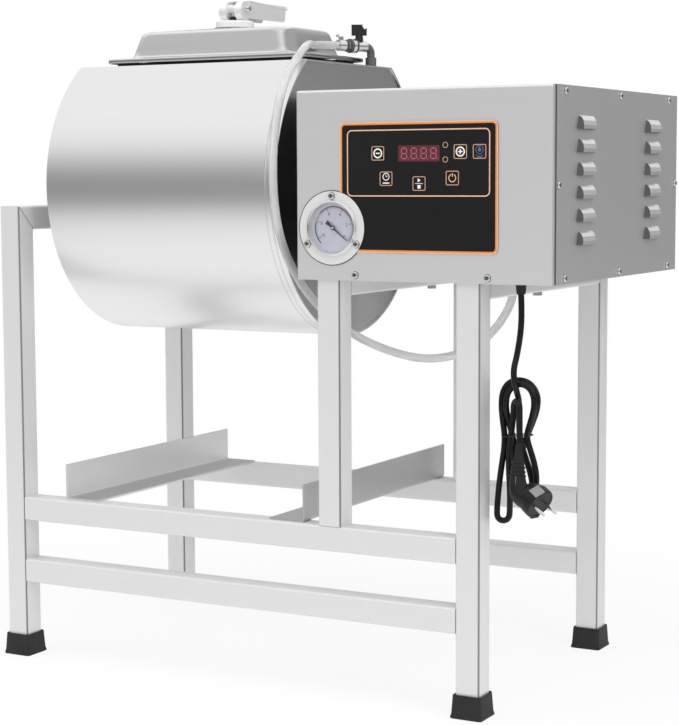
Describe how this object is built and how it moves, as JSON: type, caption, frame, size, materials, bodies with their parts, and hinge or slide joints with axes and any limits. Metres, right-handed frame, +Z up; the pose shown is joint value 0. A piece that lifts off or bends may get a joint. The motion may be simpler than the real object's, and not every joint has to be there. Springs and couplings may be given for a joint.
{
  "type": "vacuum meat mixer",
  "caption": "Vacuum meat mixer: a flat-topped stainless drum with a clamped lid turns on a square-tube stand beside a control box with gauge, keypad, hose and hanging mains cord.",
  "frame": {"origin": "on the floor, under the middle of the overall length and depth without the hose and cord", "axes": "+X along the drum's axis towards the control box, +Y to the rear, +Z up"},
  "size_m": [0.7646, 0.4132, 0.8383],
  "materials": {
    "satin_steel": "fine satin grain",
    "bright_steel": "bright, with a soft grain round the drum",
    "plated_steel": "bright plating",
    "gauge_metal": "polished ring and satin flange",
    "gauge_clear": "clear window",
    "gauge_face": "printed pale dial with coloured arcs and plain numbers",
    "gauge_pointer": "black pointer",
    "bearing_housing": "painted housings",
    "motor_paint": "satin paint",
    "bracket_steel": "bent plate",
    "black_rubber": "matt moulded rubber",
    "panel_film": "near-black film with an orange border and plain key signs",
    "circuit_board": "green board",
    "pale_plastic": "pale moulded disc",
    "dark_plastic": "dark moulded plastic",
    "clear_hose": "clear flexible tube",
    "black_cord": "black flexible cord and moulded plug"
  },
  "bodies": {
    "frame": {"front_left_leg": "satin_steel", "rear_left_leg": "satin_steel", "front_middle_post": "satin_steel", "rear_middle_post": "satin_steel", "front_right_leg": "satin_steel", "rear_right_leg": "satin_steel", "left_top_rail": "satin_steel", "middle_box_rail": "satin_steel", "right_box_rail": "satin_steel", "front_upper_rail": "satin_steel", "rear_upper_rail": "satin_steel", "front_lower_rail": "satin_steel", "rear_lower_rail": "satin_steel", "left_tray_bracket": "satin_steel", "right_tray_bracket": "satin_steel", "box_casing": "satin_steel", "side_cover": "satin_steel", "box_floor": "satin_steel", "frame_bolts": "plated_steel", "panel_screws": "plated_steel", "gauge_screws": "plated_steel", "bearing_inserts": "plated_steel", "hose_fitting": "plated_steel", "gauge_case": "gauge_metal", "gauge_glass": "gauge_clear", "gauge_dial": "gauge_face", "pillow_block": "bearing_housing", "flange_bearing": "bearing_housing", "gear_motor": "motor_paint", "vacuum_pump": "motor_paint", "motor_bracket": "bracket_steel", "front_left_foot": "black_rubber", "rear_left_foot": "black_rubber", "front_right_foot": "black_rubber", "rear_right_foot": "black_rubber", "control_overlay": "panel_film", "control_board": "circuit_board", "cord_bushing": "dark_plastic", "vacuum_hose": "clear_hose", "mains_cord": "black_cord", "cord_hank": "black_cord", "mains_plug": "black_cord"},
    "drum": {"drum_shell": "bright_steel", "drum_left_end": "bright_steel", "drum_right_end": "bright_steel", "drum_neck": "bright_steel", "mixing_paddles": "bright_steel", "left_stub_shaft": "bright_steel", "drive_shaft": "bright_steel", "clamp_bar": "bright_steel", "valve_elbow": "dark_plastic", "valve_body": "plated_steel", "hose_clamp": "plated_steel"},
    "lid": {"lid_pan": "bright_steel", "lid_gasket": "black_rubber", "clamp_disc": "pale_plastic", "cam_pin": "bright_steel"},
    "cam_lever": {"cam_lever": "bright_steel"},
    "valve_handle": {"valve_handle": "dark_plastic"},
    "gauge_needle": {"gauge_needle": "gauge_pointer"}
  },
  "joints": [
    {"name": "drum_spin", "type": "hinge", "parent": "frame", "child": "drum", "pos_m": [-0.14675, 0.0024, 0.602], "axis": [1, 0, 0], "continuous": true, "deforming": ["vacuum_hose"]},
    {"name": "lid_lift", "type": "slide", "parent": "drum", "child": "lid", "axis": [0, 0, 1], "range_m": [0, 0.004]},
    {"name": "cam_lever_turn", "type": "hinge", "parent": "lid", "child": "cam_lever", "pos_m": [-0.14975, 0.0024, 0.8288], "axis": [1, 0, 0], "range_deg": [0, 95]},
    {"name": "valve_turn", "type": "hinge", "parent": "drum", "child": "valve_handle", "pos_m": [0.00252, 0.05704, 0.786], "axis": [0, 0, 1], "range_deg": [0, 90]},
    {"name": "gauge_needle_turn", "type": "hinge", "parent": "frame", "child": "gauge_needle", "pos_m": [0.10325, -0.2006, 0.555], "axis": [0, -1, 0], "range_deg": [0, 250]}
  ]
}
